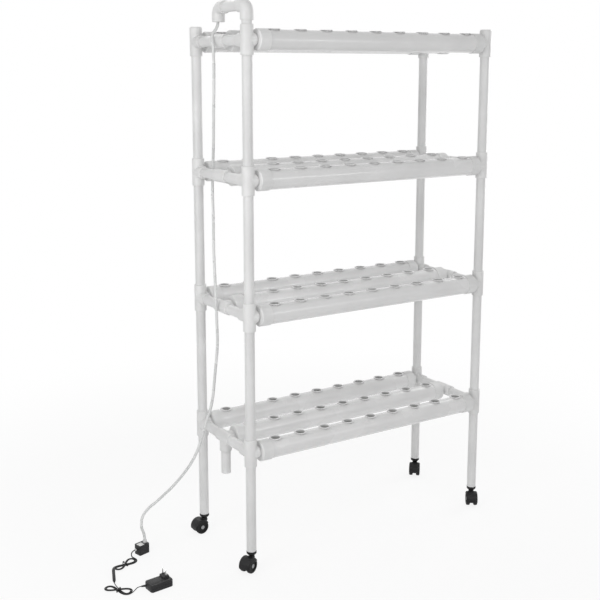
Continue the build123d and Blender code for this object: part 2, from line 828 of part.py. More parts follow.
# adapter case with the plug block on top
case_place = Pos(case_centre[0], case_centre[1], 0) * Rot(0, 0, case_heading)
case_length, case_width, case_height = case_size
case = Box(case_length, case_width, case_height, align=standing)
case = fillet(case.edges().filter_by(Axis.Z), case_corner)
case = fillet(case.faces().sort_by(Axis.Z)[-1].edges(), case_edge)
block_length, block_width, block_height = block_size
block = Box(block_length, block_width, block_height + case_edge, align=standing)
block = fillet(block.edges().filter_by(Axis.Z), block_corner)
case = case + Pos(block_centre[0], block_centre[1], case_height - case_edge) * block
pin_base = case_height + block_height
pins = []
for sy in (-1, 1):
    x = block_centre[0]
    y = block_centre[1] + sy * pin_spacing / 2
    root_radius = pin_radius - pin_root_step
    case = case - rod(root_radius + fit, (x, y, pin_base - pin_depth - fit), (x, y, pin_base))
    pin = rod(pin_radius, (x, y, pin_base + pin_shoulder), (x, y, pin_base + pin_length - pin_round))
    pin = pin + rod(root_radius, (x, y, pin_base - pin_depth), (x, y, pin_base + pin_shoulder))
    tip = cone(
        pin_radius,
        pin_radius - pin_round / 2,
        (x, y, pin_base + pin_length - pin_round),
        (x, y, pin_base + pin_length),
    )
    pins.append(case_place * (pin + tip))
relief = cone(relief_tip_radius, relief_root_radius, tuple(relief_first), tuple(relief_last))
pocket = cone(
    relief_tip_radius + fit,
    relief_root_radius + fit,
    tuple(relief_first),
    tuple(relief_last + relief_heading * fit),
)
save("adapter_case", (case_place * case) - pocket)
save("adapter_pins", *pins)
save("adapter_strain_relief", relief)
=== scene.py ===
import bpy
import bmesh
import json
from math import cos, sin, pi, radians, hypot, tau
from mathutils import Matrix, Vector

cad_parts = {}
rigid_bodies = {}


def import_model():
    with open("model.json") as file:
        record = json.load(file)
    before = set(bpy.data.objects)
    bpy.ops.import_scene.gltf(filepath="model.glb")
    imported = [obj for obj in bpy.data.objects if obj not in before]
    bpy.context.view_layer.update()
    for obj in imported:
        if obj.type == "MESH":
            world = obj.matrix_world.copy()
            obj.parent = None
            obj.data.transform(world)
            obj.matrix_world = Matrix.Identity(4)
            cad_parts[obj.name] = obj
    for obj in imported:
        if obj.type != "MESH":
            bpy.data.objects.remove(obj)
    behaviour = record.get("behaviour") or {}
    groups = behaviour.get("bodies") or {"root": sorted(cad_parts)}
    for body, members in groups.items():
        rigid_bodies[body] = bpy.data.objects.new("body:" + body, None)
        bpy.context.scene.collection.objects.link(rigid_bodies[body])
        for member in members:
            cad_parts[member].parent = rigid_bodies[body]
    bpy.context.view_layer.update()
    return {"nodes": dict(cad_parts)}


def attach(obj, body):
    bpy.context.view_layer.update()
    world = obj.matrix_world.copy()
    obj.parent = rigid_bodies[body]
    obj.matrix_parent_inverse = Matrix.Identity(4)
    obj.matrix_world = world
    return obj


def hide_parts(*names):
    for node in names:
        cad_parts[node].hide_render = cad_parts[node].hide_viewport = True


for leftover in list(bpy.data.objects):
    bpy.data.objects.remove(leftover)
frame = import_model()
nodes = frame["nodes"]
scene = bpy.context.scene
print("stage: frame loaded,", len(nodes), "nodes")


# Camera, at the photograph's viewing angle

cameraView = {
    "place": (-1.9677, -2.7842, 1.5937),
    "yaw": 32.70,
    "pitchDown": 10.165,
    "lens": 60.13,
    "sensor": 36,
    "shiftY": -0.085,
    "farLimit": 60,
}


def makeCamera(view):
    data = bpy.data.cameras.new("rackCamera")
    data.sensor_width = view["sensor"]
    data.lens = view["lens"]
    data.shift_y = view["shiftY"]
    data.clip_end = view["farLimit"]
    camera = bpy.data.objects.new("rackCamera", data)
    camera.location = view["place"]
    camera.rotation_euler = (radians(90 - view["pitchDown"]), 0, radians(-view["yaw"]))
    scene.collection.objects.link(camera)
    scene.camera = camera


makeCamera(cameraView)
print("stage: camera")


# Shared shader pieces

white = (1, 1, 1, 1)
plasticIor = 1.5
patchSpan = (0.3, 0.7)  # noise over which a tone goes from its low to its high value
glossSpan = (0.25, 0.75)
wear = {
    "patchHeight": 0.6,
    "upward": (0.1, 1.0), "dustBreaks": (0.42, 0.68), "dustRoughness": 0.3,
    "scuffStretch": (0.35, 1.0, 2.2), "scuffWidth": 0.022, "scuffNoise": (24.0, 4.0, 0.7),
    "scuffBreaks": (0.54, 0.72), "scuffRoughness": 0.25,
}
# painted shade for the cup walls: steepness and depth ranges over which they darken
cupPaintedShade = {"steep": (0.3, 0.8), "deep": (0.80, 0.985), "atLip": 0.1}
usualLook = {"draw": 1.0, "specks": 60.0, "scuffScale": 30.0}


def newGroup(name, inputs, outputs):
    group = bpy.data.node_groups.new(name, "ShaderNodeTree")
    for label in inputs:
        group.interface.new_socket(label, in_out="INPUT", socket_type="NodeSocketFloat")
    for label in outputs:
        group.interface.new_socket(label, in_out="OUTPUT", socket_type="NodeSocketFloat")
    return group, group.nodes.new("NodeGroupInput"), group.nodes.new("NodeGroupOutput")


def addNode(tree, kind, settings=None, **values):
    node = tree.nodes.new(kind)
    for key, value in (settings or {}).items():
        setattr(node, key, value)
    for key, value in values.items():
        node.inputs[key.replace("_", " ")].default_value = value
    return node


def mathNode(tree, operation, first, second=0.0, clamp=False):
    node = addNode(tree, "ShaderNodeMath", {"operation": operation, "use_clamp": clamp})
    for index, item in enumerate((first, second)):
        if isinstance(item, (int, float)):
            node.inputs[index].default_value = item
        else:
            tree.links.new(item, node.inputs[index])
    return node.outputs[0]


def mixColour(tree, factor, first, second):
    node = addNode(tree, "ShaderNodeMix", {"data_type": "RGBA"})
    for index, item in ((0, factor), (6, first), (7, second)):  # sockets of a colour mix
        if isinstance(item, (int, float)):
            node.inputs[index].default_value = item
        elif isinstance(item, tuple):
            node.inputs[index].default_value = (*item, 1) if len(item) == 3 else item
        else:
            tree.links.new(item, node.inputs[index])
    return node.outputs[2]


def rangeOf(tree, value, low, high, toLow=0.0, toHigh=1.0):
    node = addNode(tree, "ShaderNodeMapRange", {"interpolation_type": "SMOOTHSTEP"})
    tree.links.new(value, node.inputs[0])
    for index, number in enumerate((low, high, toLow, toHigh), 1):
        node.inputs[index].default_value = number
    return node.outputs[0]


def noiseOf(tree, vector, scale, detail, roughness):
    node = addNode(tree, "ShaderNodeTexNoise", Scale=scale, Detail=detail, Roughness=roughness)
    tree.links.new(vector, node.inputs["Vector"])
    return node.outputs["Fac"]


def buildPlasticGrain():  # fine moulded or extruded skin: tone drift, gloss drift, height
    group, start, end = newGroup("plasticGrain", ["Grain Scale", "Patch Scale", "Draw X"],
                                 ["Patch", "Grain", "Height"])
    place = addNode(group, "ShaderNodeTexCoord").outputs["Object"]
    stretch = addNode(group, "ShaderNodeVectorMath", {"operation": "MULTIPLY"})
    joined = addNode(group, "ShaderNodeCombineXYZ", Y=1.0, Z=1.0)
    group.links.new(start.outputs["Draw X"], joined.inputs["X"])
    group.links.new(place, stretch.inputs[0])
    group.links.new(joined.outputs[0], stretch.inputs[1])
    patch = addNode(group, "ShaderNodeTexNoise", Detail=3.0, Roughness=0.5)
    group.links.new(place, patch.inputs["Vector"])
    group.links.new(start.outputs["Patch Scale"], patch.inputs["Scale"])
    grain = addNode(group, "ShaderNodeTexNoise", Detail=4.0, Roughness=0.6)
    group.links.new(stretch.outputs[0], grain.inputs["Vector"])
    group.links.new(start.outputs["Grain Scale"], grain.inputs["Scale"])
    group.links.new(patch.outputs["Fac"], end.inputs["Patch"])
    group.links.new(grain.outputs["Fac"], end.inputs["Grain"])
    rise = mathNode(group, "MULTIPLY", patch.outputs["Fac"], wear["patchHeight"])
    height = mathNode(group, "ADD", grain.outputs["Fac"], rise)
    group.links.new(height, end.inputs["Height"])
    return group


def buildDustFilm():  # dust that settles on upward faces, broken up by noise
    group, start, end = newGroup("dustFilm", ["Amount", "Speck Scale"], ["Dust"])
    place = addNode(group, "ShaderNodeTexCoord").outputs["Object"]
    facing = addNode(group, "ShaderNodeSeparateXYZ")
    group.links.new(addNode(group, "ShaderNodeNewGeometry").outputs["Normal"], facing.inputs[0])
    upward = rangeOf(group, facing.outputs["Z"], *wear["upward"])
    specks = addNode(group, "ShaderNodeTexNoise", Detail=6.0, Roughness=0.7)
    group.links.new(place, specks.inputs["Vector"])
    group.links.new(start.outputs["Speck Scale"], specks.inputs["Scale"])
    broken = rangeOf(group, specks.outputs["Fac"], *wear["dustBreaks"])
    dust = mathNode(group, "MULTIPLY", mathNode(group, "MULTIPLY", upward, broken), start.outputs["Amount"])
    group.links.new(dust, end.inputs["Dust"])
    return group


def buildScuffs():  # long fine rub marks from handling
    group, start, end = newGroup("scuffs", ["Amount", "Scale"], ["Scuff"])
    place = addNode(group, "ShaderNodeTexCoord").outputs["Object"]
    wave = addNode(group, "ShaderNodeTexVoronoi", {"feature": "DISTANCE_TO_EDGE"}, Randomness=1.0)
    bent = addNode(group, "ShaderNodeVectorMath", {"operation": "MULTIPLY"})
    bent.inputs[1].default_value = wear["scuffStretch"]
    group.links.new(place, bent.inputs[0])
    group.links.new(bent.outputs[0], wave.inputs["Vector"])
    group.links.new(start.outputs["Scale"], wave.inputs["Scale"])
    thin = rangeOf(group, wave.outputs["Distance"], 0.0, wear["scuffWidth"], 1.0, 0.0)
    broken = rangeOf(group, noiseOf(group, place, *wear["scuffNoise"]), *wear["scuffBreaks"])
    scuff = mathNode(group, "MULTIPLY", mathNode(group, "MULTIPLY", thin, broken), start.outputs["Amount"])
    group.links.new(scuff, end.inputs["Scuff"])
    return group


grainGroup = buildPlasticGrain()
dustGroup = buildDustFilm()
scuffGroup = buildScuffs()


def useGroup(tree, group, **values):
    node = tree.nodes.new("ShaderNodeGroup")
    node.node_tree = group
    for key, value in values.items():
        node.inputs[key.replace("_", " ")].default_value = value
    return node


def paintedShadeShare(tree):  # painted shade inside the cups: how steep and how deep a face is, so the walls go darker towards the bottom of the cup while the lip stays light
    facing = addNode(tree, "ShaderNodeSeparateXYZ")
    tree.links.new(addNode(tree, "ShaderNodeNewGeometry").outputs["Normal"], facing.inputs[0])
    steep = rangeOf(tree, mathNode(tree, "ABSOLUTE", facing.outputs["Z"]), *cupPaintedShade["steep"], 1.0, 0.0)
    level = addNode(tree, "ShaderNodeSeparateXYZ")
    tree.links.new(addNode(tree, "ShaderNodeTexCoord").outputs["Generated"], level.inputs[0])
    deep = rangeOf(tree, level.outputs["Z"], *cupPaintedShade["deep"], 1.0, cupPaintedShade["atLip"])
    return mathNode(tree, "MULTIPLY", steep, deep)


def makePlastic(name, special):
    look = {**usualLook, **special}
    material = bpy.data.materials.new(name)
    material.use_nodes = True
    tree = material.node_tree
    shader = tree.nodes["Principled BSDF"]
    grain = useGroup(tree, grainGroup, Grain_Scale=look["grain"], Patch_Scale=look["patch"],
                     Draw_X=look["draw"])
    dust = useGroup(tree, dustGroup, Amount=look["dust"], Speck_Scale=look["specks"])
    scuff = useGroup(tree, scuffGroup, Amount=look["scuff"], Scale=look["scuffScale"])
    low, high = look["tones"]
    tone = mixColour(tree, rangeOf(tree, grain.outputs["Patch"], *patchSpan), low, high)
    # painted shade: steep, deep cup walls take a darker tone, as shade falls inside the cup
    if "paintedShadeTone" in look:
        tone = mixColour(tree, paintedShadeShare(tree), tone, look["paintedShadeTone"])
    tone = mixColour(tree, scuff.outputs["Scuff"], tone, look["scuffTone"])
    tone = mixColour(tree, dust.outputs["Dust"], tone, look["dustTone"])
    tree.links.new(tone, shader.inputs["Base Color"])
    smooth, rough = look["roughness"]
    spread = rangeOf(tree, grain.outputs["Patch"], *glossSpan, smooth, rough)
    rubbed = mathNode(tree, "MULTIPLY", scuff.outputs["Scuff"], wear["scuffRoughness"])
    dusty = mathNode(tree, "MULTIPLY", dust.outputs["Dust"], wear["dustRoughness"])
    spread = mathNode(tree, "ADD", mathNode(tree, "ADD", spread, rubbed), dusty, True)
    tree.links.new(spread, shader.inputs["Roughness"])
    bump = addNode(tree, "ShaderNodeBump", Strength=look["bump"], Distance=look["relief"])
    tree.links.new(grain.outputs["Height"], bump.inputs["Height"])
    tree.links.new(bump.outputs["Normal"], shader.inputs["Normal"])
    shader.inputs["IOR"].default_value = plasticIor
    for socket, value in look.get("plain", {}).items():
        shader.inputs[socket].default_value = value
    return material


plasticLooks = {
    "tubePvc": {
        "tones": ((0.70, 0.70, 0.698), (0.77, 0.77, 0.768)), "roughness": (0.28, 0.40),
        "grain": 420.0, "patch": 7.0, "dust": 0.10, "dustTone": (0.62, 0.60, 0.56),
        "scuff": 0.25, "scuffTone": (0.60, 0.60, 0.59), "bump": 0.10, "relief": 0.0004,
    },
    "growPipePvc": {
        "tones": ((0.71, 0.708, 0.708), (0.78, 0.778, 0.778)), "roughness": (0.20, 0.30), "draw": 0.05,
        "grain": 520.0, "patch": 5.0, "dust": 0.12, "dustTone": (0.64, 0.62, 0.58),
        "scuff": 0.25, "scuffTone": (0.64, 0.64, 0.63), "bump": 0.08, "relief": 0.0004,
        "plain": {"Coat Weight": 0.8, "Coat Roughness": 0.14},
    },
    "fittingPvc": {
        "tones": ((0.71, 0.71, 0.707), (0.785, 0.785, 0.782)), "roughness": (0.32, 0.46),
        "grain": 650.0, "patch": 12.0, "dust": 0.10, "dustTone": (0.60, 0.58, 0.54),
        "scuff": 0.3, "scuffTone": (0.58, 0.58, 0.57), "bump": 0.16, "relief": 0.0004,
    },
    "capPvc": {
        "tones": ((0.71, 0.71, 0.708), (0.785, 0.785, 0.783)), "roughness": (0.36, 0.50),
        "grain": 700.0, "patch": 14.0, "dust": 0.08, "dustTone": (0.62, 0.60, 0.56),
        "scuff": 0.25, "scuffTone": (0.60, 0.60, 0.59), "bump": 0.14, "relief": 0.0004,
    },
    "cupPlastic": {
        "tones": ((0.71, 0.708, 0.708), (0.78, 0.778, 0.778)), "roughness": (0.30, 0.42),
        "grain": 800.0, "patch": 18.0, "dust": 0.06, "dustTone": (0.66, 0.64, 0.60),
        "scuff": 0.15, "scuffTone": (0.70, 0.70, 0.69), "bump": 0.14, "relief": 0.0003,
        # painted shade tone for the cup walls
        "paintedShadeTone": (0.38, 0.38, 0.375),
    },
    "blackMoulded": {
        "tones": ((0.009, 0.009, 0.0095), (0.017, 0.017, 0.018)), "roughness": (0.38, 0.52),
        "plain": {"Specular IOR Level": 0.22},
        "grain": 1100.0, "patch": 30.0, "dust": 0.10, "dustTone": (0.12, 0.115, 0.11), "specks": 140.0,
        "scuff": 0.4, "scuffTone": (0.09, 0.09, 0.09), "scuffScale": 60.0, "bump": 0.3, "relief": 0.0005,
    },
    "wheelTread": {
        "tones": ((0.008, 0.008, 0.008), (0.015, 0.015, 0.0155)), "roughness": (0.46, 0.62),
        "plain": {"Specular IOR Level": 0.22},
        "grain": 900.0, "patch": 40.0, "dust": 0.16, "dustTone": (0.12, 0.115, 0.11), "specks": 160.0,
        "scuff": 0.5, "scuffTone": (0.10, 0.10, 0.095), "scuffScale": 80.0, "bump": 0.35, "relief": 0.0005,
    },
    "pumpShell": {
        "tones": ((0.011, 0.011, 0.012), (0.021, 0.021, 0.022)), "roughness": (0.32, 0.46),
        "plain": {"Specular IOR Level": 0.25},
        "grain": 1200.0, "patch": 40.0, "dust": 0.10, "dustTone": (0.17, 0.165, 0.155), "specks": 180.0,
        "scuff": 0.4, "scuffTone": (0.10, 0.10, 0.10), "scuffScale": 90.0, "bump": 0.3, "relief": 0.0004,
    },
    "adapterShell": {
        "tones": ((0.012, 0.012, 0.013), (0.023, 0.023, 0.024)), "roughness": (0.36, 0.48),
        "plain": {"Specular IOR Level": 0.25},
        "grain": 1500.0, "patch": 40.0, "dust": 0.10, "dustTone": (0.18, 0.175, 0.165), "specks": 180.0,
        "scuff": 0.4, "scuffTone": (0.11, 0.11, 0.11), "scuffScale": 90.0, "bump": 0.4, "relief": 0.0005,
    },
    "cordRubber": {
        "tones": ((0.008, 0.008, 0.0085), (0.015, 0.015, 0.0155)), "roughness": (0.42, 0.56),
        "plain": {"Specular IOR Level": 0.22},
        "grain": 1300.0, "patch": 60.0, "dust": 0.08, "dustTone": (0.13, 0.125, 0.12), "specks": 200.0,
        "scuff": 0.3, "scuffTone": (0.07, 0.07, 0.07), "scuffScale": 120.0, "bump": 0.25, "relief": 0.0003,
    },
    "milkyHose": {
        "tones": ((0.74, 0.75, 0.745), (0.82, 0.825, 0.82)), "roughness": (0.22, 0.34),
        "grain": 500.0, "patch": 16.0, "dust": 0.08, "dustTone": (0.62, 0.61, 0.57),
        "scuff": 0.2, "scuffTone": (0.66, 0.66, 0.64), "bump": 0.1, "relief": 0.0003,
        "plain": {"Transmission Weight": 0.18, "Coat Weight": 0.3, "Coat Roughness": 0.1},
    },
    "lightFitting": {
        "tones": ((0.70, 0.70, 0.69), (0.79, 0.79, 0.78)), "roughness": (0.36, 0.5),
        "grain": 900.0, "patch": 40.0, "dust": 0.1, "dustTone": (0.58, 0.56, 0.52),
        "scuff": 0.2, "scuffTone": (0.55, 0.55, 0.54), "bump": 0.2, "relief": 0.0003,
    },
    "impellerGrey": {
        "tones": ((0.36, 0.365, 0.37), (0.46, 0.465, 0.47)), "roughness": (0.4, 0.55),
        "grain": 900.0, "patch": 60.0, "dust": 0.0, "dustTone": (0.4, 0.4, 0.4),
        "scuff": 0.2, "scuffTone": (0.3, 0.3, 0.3), "bump": 0.2, "relief": 0.0003,
    },
}
looks = {name: makePlastic(name, look) for name, look in plasticLooks.items()}


def makeMetal(name, look):
    material = bpy.data.materials.new(name)
    material.use_nodes = True
    tree = material.node_tree
    shader = tree.nodes["Principled BSDF"]
    shader.inputs["Metallic"].default_value = 1.0
    grain = useGroup(tree, grainGroup, Grain_Scale=look["grain"], Patch_Scale=look["patch"],
                     Draw_X=look["draw"])
    scuff = useGroup(tree, scuffGroup, Amount=look["scuff"], Scale=look["scuffScale"])
    low, high = look["tones"]
    tone = mixColour(tree, rangeOf(tree, grain.outputs["Patch"], *patchSpan), low, high)
    tone = mixColour(tree, scuff.outputs["Scuff"], tone, look["scuffTone"])
    tree.links.new(tone, shader.inputs["Base Color"])
    smooth, rough = look["roughness"]
    spread = rangeOf(tree, grain.outputs["Grain"], *patchSpan, smooth, rough)
    tree.links.new(spread, shader.inputs["Roughness"])
    bump = addNode(tree, "ShaderNodeBump", Strength=look["bump"], Distance=look["relief"])
    tree.links.new(grain.outputs["Grain"], bump.inputs["Height"])
    tree.links.new(bump.outputs["Normal"], shader.inputs["Normal"])
    return material


metalLooks = {
    # painted shade: tones set well below the steel's own pale colour, so the castor pins look shaded
    "zincSteelInPaintedShade": {
        "tones": ((0.24, 0.245, 0.25), (0.34, 0.345, 0.35)), "roughness": (0.32, 0.46), "draw": 0.1,
        "grain": 900.0, "patch": 50.0, "scuff": 0.4, "scuffScale": 90.0,
        "scuffTone": (0.35, 0.35, 0.35), "bump": 0.12, "relief": 0.0003,
    },
    "platedPin": {
        "tones": ((0.66, 0.66, 0.65), (0.76, 0.76, 0.75)), "roughness": (0.12, 0.24), "draw": 1.0,
        "grain": 1200.0, "patch": 80.0, "scuff": 0.4, "scuffScale": 90.0,
        "scuffTone": (0.45, 0.44, 0.42), "bump": 0.06, "relief": 0.0003,
    },
}
looks.update({name: makeMetal(name, look) for name, look in metalLooks.items()})
print("stage: materials", len(looks))


# CAD nodes keep their shape and take a finish

nodeFinish = {
    "post_": "tubePvc", "cross_tubes": "tubePvc", "gooseneck_tubes": "tubePvc", "drain_tube": "tubePvc",
    "pipe_nipples": "tubePvc", "grow_pipe_": "growPipePvc", "corner_tees": "fittingPvc",
    "middle_tees": "fittingPvc", "gooseneck_elbows": "fittingPvc", "top_plugs": "fittingPvc",
    "hose_bush": "fittingPvc", "end_caps": "capPvc", "net_cups_": "cupPlastic",
    "castor_inserts": "blackMoulded", "castor_hood_": "blackMoulded", "castor_wheel_": "wheelTread",
    "castor_pins_": "zincSteelInPaintedShade", "pump_housing": "pumpShell", "pump_intake_cover": "pumpShell",
    "pump_impeller": "impellerGrey", "pump_fittings": "lightFitting", "dc_coupling": "cordRubber",
    "adapter_case": "adapterShell", "adapter_pins": "platedPin", "adapter_strain_relief": "cordRubber",
    "hose": "milkyHose", "pump_cord": "cordRubber", "adapter_cord_hank": "cordRubber",
    "adapter_lead": "cordRubber",
}


def byPrefix(table, name):
    return next((value for prefix, value in table.items() if name.startswith(prefix)), None)


for name, piece in nodes.items():
    finish = looks[byPrefix(nodeFinish, name)]
    if not piece.material_slots:
        piece.data.materials.append(finish)
    for slot in piece.material_slots:
        slot.material = finish
print("stage: node finishes")


# Cords

cordCurve = {"order": 3, "stepsAlong": 10}


def softCord(name, points, radius, finish, replaced, segments=6):
    curve = bpy.data.curves.new(name, "CURVE")
    curve.dimensions = "3D"
    curve.bevel_depth = radius
    curve.bevel_resolution = segments
    curve.use_fill_caps = True
    curve.resolution_u = cordCurve["stepsAlong"]
    line = curve.splines.new("NURBS")
    line.points.add(len(points) - 1)
    for point, place in zip(line.points, points):
        point.co = (*place, 1)
    line.order_u = cordCurve["order"]
    line.use_endpoint_u = True
    piece = bpy.data.objects.new(name, curve)
    piece.data.materials.append(looks[finish])
    scene.collection.objects.link(piece)
    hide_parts(*replaced)
    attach(piece, "rack")
    return piece


waterHose = {
    "radius": 0.0047,
    "length": 1.866,
    "route": [
        (-0.472, 0.010, 1.757), (-0.472, 0.010, 1.7235), (-0.503, 0.000, 1.700), (-0.502, -0.012, 1.648),
        (-0.493, 0.004, 1.572), (-0.486, 0.024, 1.470), (-0.470, 0.058, 1.370), (-0.450, 0.102, 1.290),
        (-0.450, 0.110, 1.210), (-0.462, 0.082, 1.130), (-0.478, 0.054, 1.030), (-0.494, 0.016, 0.930),
        (-0.502, -0.004, 0.860), (-0.503, -0.008, 0.790), (-0.494, 0.004, 0.715), (-0.497, 0.022, 0.610),
        (-0.506, 0.024, 0.516), (-0.530, 0.030, 0.445), (-0.564, 0.032, 0.342), (-0.606, 0.078, 0.251),
        (-0.650, 0.130, 0.178), (-0.706, 0.158, 0.128), (-0.721, 0.145, 0.084),
        (-0.71207, 0.13442, 0.062), (-0.71207, 0.13442, 0.0333),
    ],
}
hose = softCord("waterHose", waterHose["route"], waterHose["radius"], "milkyHose", ["hose"],
                segments=8)


class FigureEight:  # a hank's line: turns side by side, one diagonal above the other
    floorGap = 0.00015
    pointsPerTurn = 16
    endRoom = 0.4
    tangentStep = 0.001

    def __init__(self, size):
        self.centre, self.size, self.radius = size["centre"], size["size"], size["radius"]
        self.along = (cos(radians(size["heading"])), sin(radians(size["heading"])))
        self.pitch = 2 * self.radius + size["gap"]
        self.rise = 2 * self.radius + size["rise"]
        self.low = self.radius + self.floorGap
        self.first, self.last = size["first"], size["last"]

    def point(self, angle):
        length, width = self.size
        x, y = length * sin(angle), width * sin(2 * angle) / 2
        dx, dy = length * cos(angle), width * cos(2 * angle)
        offset = self.pitch * ((self.first + self.last) / 2 - angle) / tau / hypot(dx, dy)
        x, y = x - offset * dy, y + offset * dx
        ux, uy = self.along
        height = self.low + self.rise * (1 + cos(angle)) / 2
        return Vector((self.centre[0] + x * ux - y * uy, self.centre[1] + x * uy + y * ux, height))

    def heading(self, angle):
        step = self.point(angle + self.tangentStep) - self.point(angle - self.tangentStep)
        return Vector((step.x, step.y, 0)).normalized()

    def turns(self):  # stops short of both ends, which are placed by themselves
        apart = tau / self.pointsPerTurn
        count = int((self.last - self.first) / apart - self.endRoom)
        return [self.point(self.first + apart * (index + 1)) for index in range(count)]


pumpCordPlan = {
    "centre": (-0.806, 0.080), "heading": 23.0, "size": (0.042, 0.027), "radius": 0.00175,
    "gap": 0.0005, "rise": 0.0006, "first": pi / 2, "last": 1.5 * pi - 0.41 + 4 * pi,
    "start": (-0.74554, 0.13432, 0.015), "startTurn": 14.0, "leadOut": 0.018, "runIn": 0.0185,
    "length": 0.562,
}
adapterCordPlan = {
    "centre": (-0.888, -0.060), "heading": 129.6, "size": (0.044, 0.030), "radius": 0.0013,
    "gap": 0.0005, "rise": 0.0006, "first": pi, "last": 1.5 * pi + 6 * pi,
    "relief": (-0.824, -0.0886, 0.009), "reliefEnd": (-0.806, -0.0934, 0.009), "leadOut": 0.014,
    "runOut": 0.0135, "reliefRun": 0.011, "length": 0.792,
}
couplingPlan = {"height": 0.0052, "length": 0.090, "joinGap": 0.00005}


def layPumpCord(plan):
    hank = FigureEight(plan)
    out = Vector((-cos(radians(plan["startTurn"])), -sin(radians(plan["startTurn"])), 0))
    start = Vector(plan["start"])
    entry, entryRun = hank.point(hank.first), hank.heading(hank.first)
    leaving, leavingRun = hank.point(hank.last), hank.heading(hank.last)
    leaving.z = couplingPlan["height"]
    line = [start, start + out * plan["leadOut"], entry - entryRun * plan["runIn"], entry, *hank.turns()]
    line += [leaving, leaving + leavingRun * 2 * hank.radius]
    piece = softCord("pumpCord", line, hank.radius, "cordRubber", ["pump_cord", "pump_cord_hank"])
    return line[-1] + leavingRun * (couplingPlan["length"] + couplingPlan["joinGap"]), leavingRun


def layAdapterCord(plan, couplingEnd, run):
    hank = FigureEight(plan)
    start = couplingEnd + run * couplingPlan["joinGap"]
    leaving, leavingRun = hank.point(hank.last), hank.heading(hank.last)
    relief = Vector(plan["relief"])
    reliefRun = (Vector(plan["reliefEnd"]) - relief).normalized()
    line = [start, start + run * plan["leadOut"], hank.point(hank.first), *hank.turns()]
    line += [leaving, leaving + leavingRun * plan["runOut"], relief - reliefRun * plan["reliefRun"],
             relief - reliefRun * couplingPlan["joinGap"]]
    piece = softCord("adapterCord", line, hank.radius, "cordRubber", ["adapter_cord_hank", "adapter_lead"])


layAdapterCord(adapterCordPlan, *layPumpCord(pumpCordPlan))
print("stage: cords")


# Pieces made here: castor hoods, adapter shell, pump details, hank ties

weldGap = 1e-6
sharpFrom = 40
roundSteps = 8
leastCorner = 0.0004


def meshPiece(name, verts, faces, finish, body, replaced=()):
    mesh = bpy.data.meshes.new(name)
    mesh.from_pydata([tuple(vert) for vert in verts], [], faces)
    shape = bmesh.new()
    shape.from_mesh(mesh)
    bmesh.ops.remove_doubles(shape, verts=shape.verts, dist=weldGap)
    bmesh.ops.recalc_face_normals(shape, faces=shape.faces)
    shape.to_mesh(mesh)
    shape.free()
    mesh.shade_smooth()
    mesh.set_sharp_from_angle(angle=radians(sharpFrom))
    mesh.materials.append(looks[finish])
    piece = bpy.data.objects.new(name, mesh)
    scene.collection.objects.link(piece)
    if replaced:
        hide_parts(*replaced)
    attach(piece, body)


def addRings(verts, faces, rings):  # skin over rings of equal count, closed at both ends
    base, count = len(verts), len(rings[0])
    for ring in rings:
        verts.extend(ring)
    for step in range(len(rings) - 1):
        low = base + step * count
        for index in range(count):
            after = (index + 1) % count
            faces.append((low + index, low + after, low + count + after, low + count + index))
    faces.append(tuple(base + index for index in reversed(range(count))))
    top = base + (len(rings) - 1) * count
    faces.append(tuple(top + index for index in range(count)))


def lathe(verts, faces, profile, place, steps=48):  # profile of (radius, height) about Z
    rings = [[place @ Vector((radius * cos(tau * i / steps), radius * sin(tau * i / steps), height))
              for i in range(steps)] for radius, height in profile]
    addRings(verts, faces, rings)


castorHoodPlan = {
    "trail": 0.019, "axle": 0.024, "cover": (-15, 152), "steps": 40,
    "webHalf": 0.006, "hubRadius": 0.008, "axleHole": 0.00405, "inner": 0.0248,
    "shoulder": (0.0159, 0.0195), "innerRound": (0.0047, 0.0052), "outerRound": (0.0056, 0.0073),
    "brim": 55, "brimSteps": 8,
    "neck": [(0.0105, 0.040), (0.0105, 0.0455), (0.0092, 0.0470), (0.0082, 0.0482), (0.0078, 0.0496)],
}
castorCorners = {
    "front_left": (-0.472, -0.165, 205.0), "front_right": (0.472, -0.165, 234.0),
    "back_left": (-0.472, 0.165, 185.0), "back_right": (0.472, 0.165, 228.0),
}


def hoodProfile(plan):  # (across, radius) loop of web, shell and brims
    centre, up = plan["shoulder"]
    angles = [radians(plan["brim"]) * step / plan["brimSteps"] for step in range(plan["brimSteps"] + 1)]
    inner = [(centre + plan["innerRound"][0] * sin(a), up + plan["innerRound"][1] * cos(a)) for a in angles]
    outer = [(centre + plan["outerRound"][0] * sin(a), up + plan["outerRound"][1] * cos(a)) for a in angles]
    half = [(plan["webHalf"], plan["axleHole"]), (plan["webHalf"], plan["inner"])]
    half += inner + outer[::-1]
    return half + [(-across, radius) for across, radius in half[::-1]]


def makeCastorHood(name, plan, x, y, heading):
    place = Matrix.Translation((x, y, 0)) @ Matrix.Rotation(radians(heading), 4, "Z")
    verts, faces = [], []

    def sweepAbout(profile, low, high, steps):
        rings = []
        for step in range(steps + 1):
            turn = radians(low + (high - low) * step / steps)
            rings.append([place @ Vector((plan["trail"] + radius * cos(turn), across,
                                          plan["axle"] + radius * sin(turn)))
                          for across, radius in profile])
        addRings(verts, faces, rings)

    low, high = plan["cover"]
    sweepAbout(hoodProfile(plan), low, high, plan["steps"])
    hub = [(-plan["webHalf"], plan["axleHole"]), (-plan["webHalf"], plan["hubRadius"]),
           (plan["webHalf"], plan["hubRadius"]), (plan["webHalf"], plan["axleHole"])]
    sweepAbout(hub, high, low + 360, plan["steps"])
    lathe(verts, faces, plan["neck"], place)
    meshPiece("castorHood_" + name, verts, faces, "blackMoulded", "castor_swivel_" + name,
              ["castor_hood_" + name])


for corner, (cornerX, cornerY, turned) in castorCorners.items():
    makeCastorHood(corner, castorHoodPlan, cornerX, cornerY, turned)


